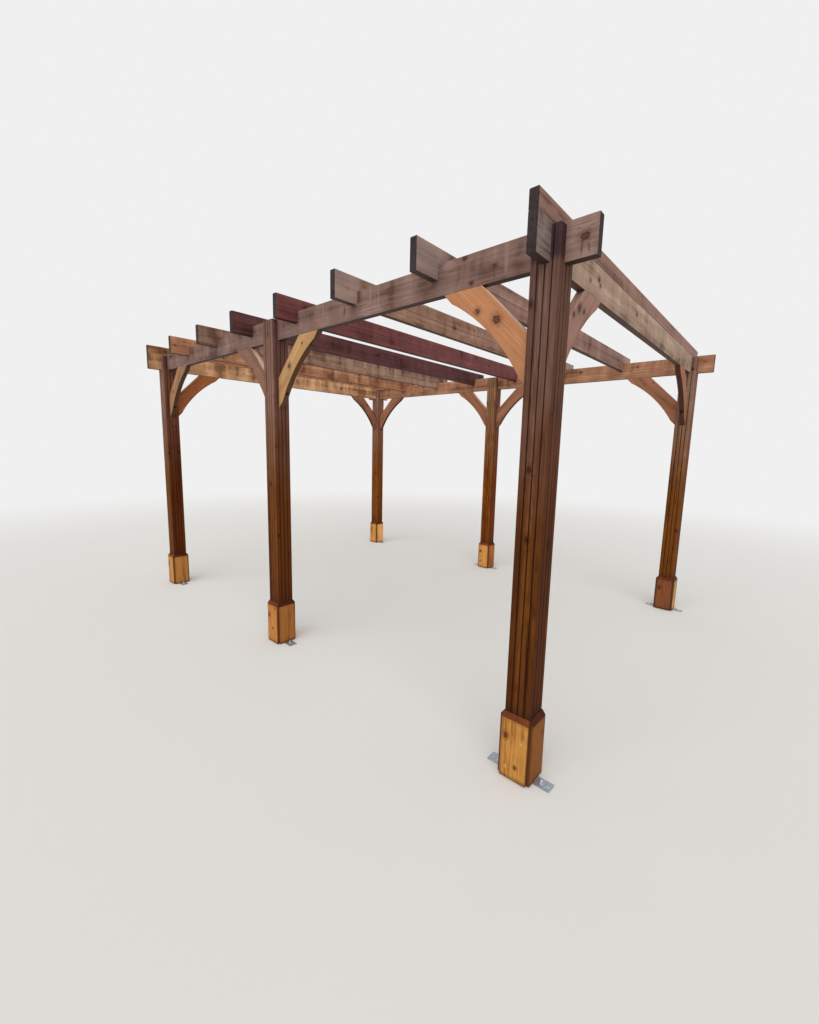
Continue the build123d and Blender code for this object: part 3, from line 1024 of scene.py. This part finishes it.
def add_bracket(shape, sizes, foot, half_width, leg, place):
    """One bracket, its heel at the origin and its foot along X: a plate with holes, bent and thickened."""
    sheet = bmesh.new()
    start = sizes.bend
    tip = bmesh.ops.create_grid(sheet, x_segments=1, y_segments=1, size=0.5)["verts"]
    bmesh.ops.scale(sheet, vec=(foot - start, half_width * 2, 1), verts=tip)
    bmesh.ops.translate(sheet, vec=((foot + start) / 2, 0, 0), verts=tip)
    corners = [vert for vert in sheet.verts if vert.co.x > foot - 0.001]
    bmesh.ops.bevel(sheet, geom=corners, offset=sizes.corner, offset_type="OFFSET", segments=5, profile=0.5,
                    affect="VERTICES", material=-1)
    bmesh.ops.delete(sheet, geom=list(sheet.faces), context="FACES_ONLY")
    for reach in (sizes.anchor_reach, sizes.spare_reach):
        bmesh.ops.create_circle(sheet, cap_ends=False, segments=24, radius=sizes.hole_radius,
                                matrix=Matrix.Translation((reach, 0, 0)))
    bmesh.ops.triangle_fill(sheet, use_beauty=True, use_dissolve=False, edges=sheet.edges[:],
                            normal=(0, 0, 1))
    heel = [edge for edge in sheet.edges if all(vert.co.x < start + 0.0001 for vert in edge.verts)]
    bent = bmesh.ops.spin(sheet, geom=heel, cent=(start, 0, start), axis=(0, 1, 0), dvec=(0, 0, 0),
                          angle=math.radians(90), steps=6, use_duplicate=False)["geom_last"]
    grown = bmesh.ops.extrude_edge_only(sheet, edges=parts_of(bent, bmesh.types.BMEdge))["geom"]
    bmesh.ops.translate(sheet, vec=(0, 0, leg - start), verts=parts_of(grown, bmesh.types.BMVert))
    bmesh.ops.recalc_face_normals(sheet, faces=sheet.faces)
    if sum(face.normal.z * face.calc_area() for face in sheet.faces) > 0:
        bmesh.ops.reverse_faces(sheet, faces=sheet.faces)
    bmesh.ops.solidify(sheet, geom=sheet.faces[:], thickness=sizes.plate)
    bmesh.ops.transform(sheet, matrix=place, verts=sheet.verts)
    mesh = mesh_of(sheet, "bracket")
    shape.from_mesh(mesh)
    bpy.data.meshes.remove(mesh)


class PERGOLA_OT_brace_screws(Step, bpy.types.Operator):
    """Make the screws that hold the braces, sunk in their pockets"""
    bl_idname = "pergola.brace_screws"
    bl_label = "Brace screws"
    settings = "pergola_fixings"

    def work(self, sizes):
        bright = make_zinc("Bright screws", "bright", rough=0.3)
        r = sizes.head_radius
        profile = [(0, 0), (r, 0), (r, r * 0.18), (r * 0.72, r * 0.36), (r * 0.66, r * 0.55),
                   (r * 0.36, r * 0.55), (r * 0.32, r * 0.2), (0, r * 0.2)]
        for place in PLACES:
            shape = bmesh.new()
            for name in brace_names(f"brace_{place}_"):
                corner, outward = brace_corner(name)
                lowest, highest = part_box(name)
                inset = highest.z - lowest.z - sizes.brace_tip
                seat = sizes.brace_seat
                turn_profile(shape, profile, place_at(corner + outward * seat - UP * inset, outward), 12)
                turn_profile(shape, profile, place_at(corner + outward * inset - UP * seat, -UP), 12)
            new_piece(f"brace_screws_{place}", shape, bright)


class PERGOLA_OT_anchors(Step, bpy.types.Operator):
    """Make the anchors that hold the brackets to the ground: washer, nut and threaded stud"""
    bl_idname = "pergola.anchors"
    bl_label = "Ground anchors"
    settings = "pergola_fixings"

    def work(self, sizes):
        bright = make_zinc("Bright anchors", "bright", rough=0.28)
        for place in PLACES:
            shape = bmesh.new()
            lowest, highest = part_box(f"post_{place}")
            middle = (lowest.x + highest.x) / 2
            for end in (lowest.y - sizes.anchor_reach, highest.y + sizes.anchor_reach):
                add_anchor(shape, Vector((middle, end, sizes.plate)), sizes)
            new_piece(f"anchors_{place}", shape, bright)


def add_anchor(shape, seat, sizes):
    """One anchor: a washer, a six-sided nut and the end of a threaded stud."""
    wide = sizes.washer_radius
    thick = sizes.washer
    turn_profile(shape, [(0, 0), (wide - 0.0003, 0), (wide, 0.0004), (wide, thick - 0.0004),
                         (wide - 0.0004, thick), (0, thick)], place_at(seat, UP), 24)
    made = bmesh.ops.create_circle(shape, cap_ends=True, segments=6, radius=sizes.nut_radius,
                                   matrix=Matrix.Translation(seat + UP * thick))
    face = made["verts"][0].link_faces[0]
    grown = bmesh.ops.extrude_face_region(shape, geom=[face])["geom"]
    bmesh.ops.translate(shape, verts=parts_of(grown, bmesh.types.BMVert), vec=(0, 0, sizes.nut_height))
    lid = parts_of(grown, bmesh.types.BMFace)[0]
    bmesh.ops.bevel(shape, geom=list(lid.edges), offset=0.0007, offset_type="OFFSET", segments=1, profile=0.5,
                    affect="EDGES", material=-1)
    stud = sizes.stud_radius
    profile = [(stud, 0.0)]
    for turn in range(sizes.threads):
        profile += [(stud * 0.86, 0.0006 + turn * sizes.pitch), (stud, (turn + 1) * sizes.pitch)]
    tip = sizes.threads * sizes.pitch + 0.001
    profile += [(stud * 0.8, tip), (0, tip)]
    # The thread starts just inside the nut, so that no gap shows between the two
    inside = 0.0001
    turn_profile(shape, profile, place_at(seat + UP * (thick + sizes.nut_height - inside), UP), 16)


class PERGOLA_OT_cheek_screws(Step, bpy.types.Operator):
    """Make the screws that go through the cheeks of the middle posts into the long beams"""
    bl_idname = "pergola.cheek_screws"
    bl_label = "Cheek screws"
    settings = "pergola_fixings"

    def work(self, sizes):
        dull = make_zinc("Cheek screws", "bright", shade=0.12, rough=0.5, metallic=0.5)
        r = sizes.cheek_screw
        profile = [(0, 0), (r, 0), (r * 0.92, r * 0.2), (r * 0.5, r * 0.3), (r * 0.42, 0.0002), (0, 0.0002)]
        for row in ROWS:
            shape = bmesh.new()
            lowest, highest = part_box(f"post_{row}_middle")
            for side, face in ((-1, lowest.x), (1, highest.x)):
                along = (lowest.y + highest.y) / 2 + sizes.cheek_aside * side
                seat = Vector((face, along, highest.z - sizes.cheek_drop))
                turn_profile(shape, profile, place_at(seat, Vector((side, 0, 0))), 16)
            new_piece(f"cheek_screws_{row}", shape, dull)


class PERGOLA_OT_stage(Step, bpy.types.Operator):
    """Make the floor, the even light and the camera"""
    bl_idname = "pergola.stage"
    bl_label = "Stage"
    settings = "pergola_stage"

    def work(self, stage):
        make_floor(stage)
        make_light(stage)
        make_camera(stage)
        bpy.context.scene.view_settings.view_transform = "Standard"


def make_floor(stage):
    """A pale floor that fades into the backdrop far from the pergola."""
    shape = bmesh.new()
    bmesh.ops.create_circle(shape, cap_ends=True, segments=96, radius=stage.floor_radius)
    mesh = mesh_of(shape, "floor")
    ground = add_object("floor", mesh)
    ground.location.z = -stage.floor_drop
    board = Board(bpy.data.materials.new("Pale floor"))
    reach = board.size(board.object_place())
    plain = board.add("ShaderNodeBsdfDiffuse", None, {"Color": tuple(stage.floor)})
    glow = board.add("ShaderNodeEmission", None, {"Color": tuple(stage.backdrop), "Strength": 1.0})
    fade = board.ease(reach, stage.fade_start, stage.fade_end) * seen(board)
    board.show(board.add("ShaderNodeMixShader", None, {0: fade, 1: plain, 2: glow}))
    mesh.materials.append(board.owner)


def make_light(stage):
    """Even light from all round, and a broad soft light from above the front."""
    world = bpy.data.worlds.new("Studio")
    bpy.context.scene.world = world
    board = Board(world)
    light = board.add("ShaderNodeBackground", None, {"Color": (1.0, 1.0, 1.0), "Strength": stage.sky})
    plain = board.add("ShaderNodeBackground", None, {"Color": tuple(stage.backdrop), "Strength": 1.0})
    board.show(board.add("ShaderNodeMixShader", None, {0: seen(board), 1: light, 2: plain}),
               "ShaderNodeOutputWorld")
    lamp = bpy.data.lights.new("Key", "SUN")
    lamp.energy = stage.key
    lamp.angle = stage.key_width
    key = add_object("Key", lamp)
    key.rotation_mode = "QUATERNION"
    key.rotation_quaternion = Vector(stage.key_from).to_track_quat("Z", "Y")


def make_camera(stage):
    """The camera at its viewpoint, with its heading, pitch and roll."""
    camera = bpy.data.cameras.new("Camera")
    camera.sensor_width = 36
    camera.lens = stage.lens
    camera.shift_x, camera.shift_y = stage.shift
    camera.clip_end = 200
    holder = add_object("Camera", camera)
    forward = Vector((math.cos(stage.pitch) * math.cos(stage.heading),
                      math.cos(stage.pitch) * math.sin(stage.heading), math.sin(stage.pitch)))
    right = forward.cross(UP).normalized()
    above = right.cross(forward)
    c, s = math.cos(stage.roll), math.sin(stage.roll)
    turn = columns(right * c + above * s, above * c - right * s, -forward)
    holder.matrix_world = Matrix.Translation(stage.viewpoint) @ turn.to_4x4()
    bpy.context.scene.camera = holder


class PERGOLA_PT_panel(bpy.types.Panel):
    """The steps that dress the pergola"""
    bl_idname = "PERGOLA_PT_panel"
    bl_label = "Pergola"
    bl_space_type = "VIEW_3D"
    bl_region_type = "UI"
    bl_category = "Pergola"

    def draw(self, context):
        for step in STEPS:
            self.layout.operator(step.bl_idname)
        for name, group in SETTINGS.items():
            box = self.layout.box()
            box.label(text=title(name))
            for key in group.__annotations__:
                box.prop(getattr(context.scene, name), key)


SETTINGS = {
    "pergola_wood": WoodFinish,
    "pergola_posts": PostFinish,
    "pergola_beams": BeamFinish,
    "pergola_rafters": RafterFinish,
    "pergola_braces": BraceFinish,
    "pergola_skirts": SkirtFinish,
    "pergola_metal": MetalFinish,
    "pergola_fixings": FixingSizes,
    "pergola_stage": StageSettings,
}
STEPS = [PERGOLA_OT_stage, PERGOLA_OT_posts, PERGOLA_OT_beams, PERGOLA_OT_rafters, PERGOLA_OT_braces,
         PERGOLA_OT_skirts, PERGOLA_OT_brackets, PERGOLA_OT_brace_screws, PERGOLA_OT_anchors,
         PERGOLA_OT_cheek_screws]


def register():
    for name, group in SETTINGS.items():
        for key, setting in group.__annotations__.items():
            setting.keywords["name"] = title(key)
        bpy.utils.register_class(group)
        setattr(bpy.types.Scene, name, PointerProperty(type=group))
    for step in STEPS:
        bpy.utils.register_class(step)
    bpy.utils.register_class(PERGOLA_PT_panel)


def unregister():
    bpy.utils.unregister_class(PERGOLA_PT_panel)
    for step in reversed(STEPS):
        bpy.utils.unregister_class(step)
    for name, group in reversed(SETTINGS.items()):
        delattr(bpy.types.Scene, name)
        bpy.utils.unregister_class(group)


def main():
    register()
    bpy.ops.pergola.stage()
    bpy.ops.pergola.posts()
    bpy.ops.pergola.beams()
    bpy.ops.pergola.rafters()
    bpy.ops.pergola.braces()
    bpy.ops.pergola.skirts()
    bpy.ops.pergola.brackets()
    bpy.ops.pergola.brace_screws()
    bpy.ops.pergola.anchors()
    bpy.ops.pergola.cheek_screws()


if __name__ == "__main__":
    main()
